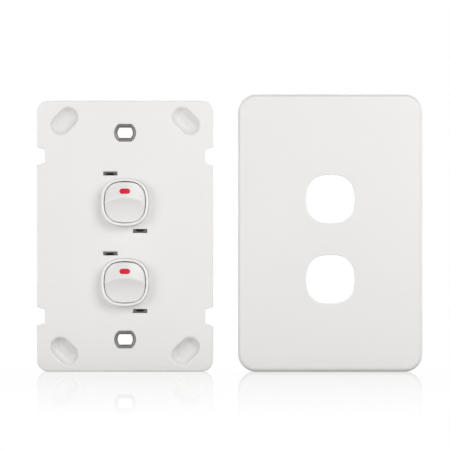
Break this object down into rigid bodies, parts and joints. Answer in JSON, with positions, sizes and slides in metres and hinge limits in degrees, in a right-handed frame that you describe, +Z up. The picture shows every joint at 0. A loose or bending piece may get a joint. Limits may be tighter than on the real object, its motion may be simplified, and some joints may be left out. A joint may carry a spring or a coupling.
{
  "type": "light switch",
  "caption": "Double rocker light switch on a wall grid plate, with see-saw contacts and screw terminals behind, and its clip-on cover plate taken off beside it.",
  "frame": {"origin": "centre of the grid plate's rear rim, on the wall", "axes": "+Z up the wall, +X to the right as seen from the room, front facing -Y, wall on the +Y side"},
  "size_m": [0.1566, 0.0314, 0.1125],
  "materials": {
    "white_plastic": "satin moulded",
    "cover_plastic": "satin moulded",
    "rocker_plastic": "gloss moulded",
    "red_plastic": "gloss moulded",
    "grey_plastic": "matt moulded",
    "natural_plastic": "matt moulded",
    "zinc": "zinc plated",
    "plated_steel": "zinc plated",
    "spring_steel": "drawn wire",
    "brass": "as extruded",
    "silver": "plain"
  },
  "bodies": {
    "wall_plate": {"grid_plate": "white_plastic", "cover_plate": "cover_plastic", "upper_mounting_bush": "zinc", "lower_mounting_bush": "zinc", "upper_bezel_frame": "white_plastic", "upper_rear_body": "grey_plastic", "upper_fixed_contact_tips": "silver", "upper_terminal_one": "brass", "upper_terminal_two": "brass", "upper_common_terminal": "brass", "upper_loop_terminal": "brass", "upper_terminal_screws": "plated_steel", "lower_bezel_frame": "white_plastic", "lower_rear_body": "grey_plastic", "lower_fixed_contact_tips": "silver", "lower_terminal_one": "brass", "lower_terminal_two": "brass", "lower_common_terminal": "brass", "lower_loop_terminal": "brass", "lower_terminal_screws": "plated_steel"},
    "upper_rocker": {"upper_rocker": "rocker_plastic", "upper_on_marker": "red_plastic", "upper_plunger_spring": "spring_steel"},
    "upper_plunger": {"upper_plunger": "natural_plastic"},
    "upper_contact": {"upper_moving_contact": "brass", "upper_moving_contact_tips": "silver"},
    "lower_rocker": {"lower_rocker": "rocker_plastic", "lower_on_marker": "red_plastic", "lower_plunger_spring": "spring_steel"},
    "lower_plunger": {"lower_plunger": "natural_plastic"},
    "lower_contact": {"lower_moving_contact": "brass", "lower_moving_contact_tips": "silver"}
  },
  "joints": [
    {"name": "upper_rocker_tilt", "type": "hinge", "parent": "wall_plate", "child": "upper_rocker", "pos_m": [0, -0.0075, 0.01375], "axis": [1, 0, 0], "range_deg": [-11, 0]},
    {"name": "upper_contact_rock", "type": "hinge", "parent": "wall_plate", "child": "upper_contact", "pos_m": [0, 0.0066, 0.01375], "axis": [1, 0, 0], "range_deg": [0, 16.5]},
    {"name": "upper_plunger_slide", "type": "slide", "parent": "upper_rocker", "child": "upper_plunger", "axis": [0, -0.9954, -0.0958], "range_m": [0, 0.0006], "stiffness_N_per_m": 200, "springref_m": -0.002, "deforming": ["upper_plunger_spring"]},
    {"name": "lower_rocker_tilt", "type": "hinge", "parent": "wall_plate", "child": "lower_rocker", "pos_m": [0, -0.0075, -0.01875], "axis": [1, 0, 0], "range_deg": [-11, 0]},
    {"name": "lower_contact_rock", "type": "hinge", "parent": "wall_plate", "child": "lower_contact", "pos_m": [0, 0.0066, -0.01875], "axis": [1, 0, 0], "range_deg": [0, 16.5]},
    {"name": "lower_plunger_slide", "type": "slide", "parent": "lower_rocker", "child": "lower_plunger", "axis": [0, -0.9954, -0.0958], "range_m": [0, 0.0006], "stiffness_N_per_m": 200, "springref_m": -0.002, "deforming": ["lower_plunger_spring"]}
  ],
  "couplings": [
    {"joint": "upper_contact_rock", "follows": "upper_rocker_tilt", "ratio": -1.5},
    {"joint": "lower_contact_rock", "follows": "lower_rocker_tilt", "ratio": -1.5}
  ]
}
